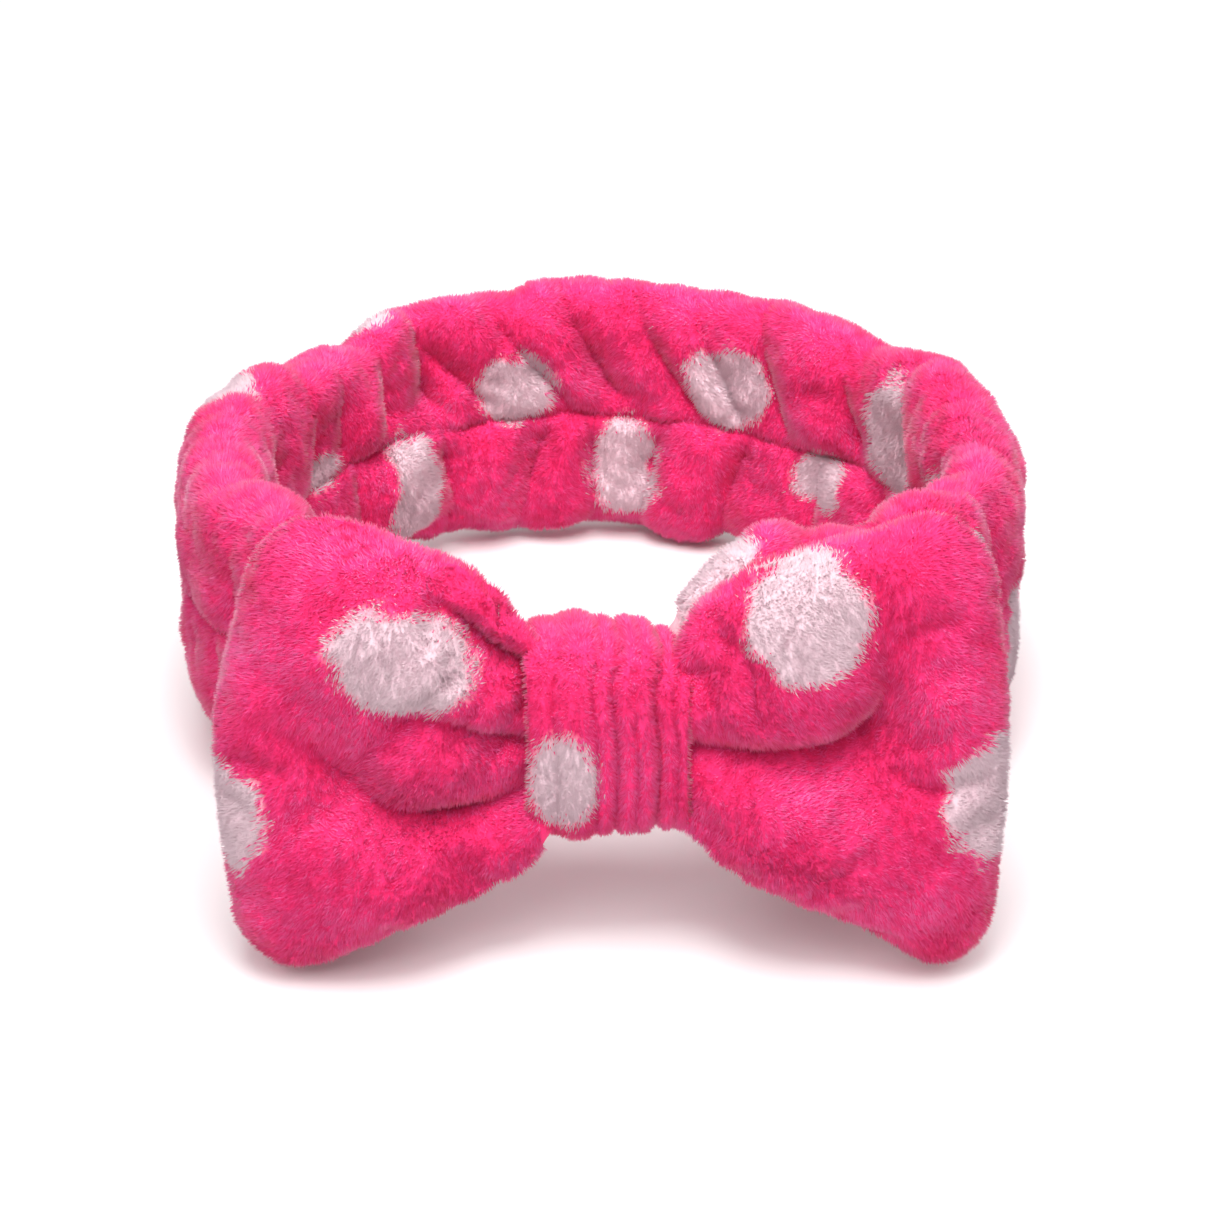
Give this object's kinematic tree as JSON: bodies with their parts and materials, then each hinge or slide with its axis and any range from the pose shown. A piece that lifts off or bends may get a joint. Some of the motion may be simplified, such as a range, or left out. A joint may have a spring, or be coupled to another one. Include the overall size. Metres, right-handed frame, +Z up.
{
  "type": "spa headband",
  "caption": "Elastic spa headband of gathered plush fleece, with a padded bow tied to its front by a wrapped knot.",
  "frame": {"origin": "on the table under the middle of the whole headband, with the headband standing on its rear rim and on the bow's lower corners", "axes": "+Z up, bow towards -Y, +X to the right of a person who looks at the bow"},
  "size_m": [0.192, 0.209, 0.0971],
  "materials": {
    "fleece": "matte",
    "elastic": "matte",
    "thread": "matte",
    "wadding": "matte"
  },
  "bodies": {
    "front": {"band_cover_front": "fleece", "elastic_front": "elastic", "elastic_lap_stitches": "thread", "long_seam_front": "thread", "band_end_seam": "thread", "bow_waist": "fleece", "waist_thread": "thread", "knot_wrap": "fleece", "knot_closing_stitches": "thread"},
    "rear": {"band_cover_rear": "fleece", "elastic_rear": "elastic", "long_seam_rear": "thread"},
    "right_wing": {"bow_wing_right": "fleece", "bow_wadding_right": "wadding", "bow_seam_right": "thread"},
    "left_wing": {"bow_wing_left": "fleece", "bow_wadding_left": "wadding", "bow_seam_left": "thread"}
  },
  "joints": [
    {"name": "rear_stretch", "type": "slide", "parent": "front", "child": "rear", "axis": [0, 1, 0], "range_m": [0, 0.06], "stiffness_N_per_m": 60},
    {"name": "right_wing_bend", "type": "hinge", "parent": "front", "child": "right_wing", "pos_m": [0.0212, -0.09001, 0.04853], "axis": [0, 0, -1], "range_deg": [0, 50], "stiffness_Nm_per_rad": 0.03},
    {"name": "left_wing_bend", "type": "hinge", "parent": "front", "child": "left_wing", "pos_m": [-0.0212, -0.09001, 0.04853], "axis": [0, 0, 1], "range_deg": [0, 50], "stiffness_Nm_per_rad": 0.03}
  ]
}
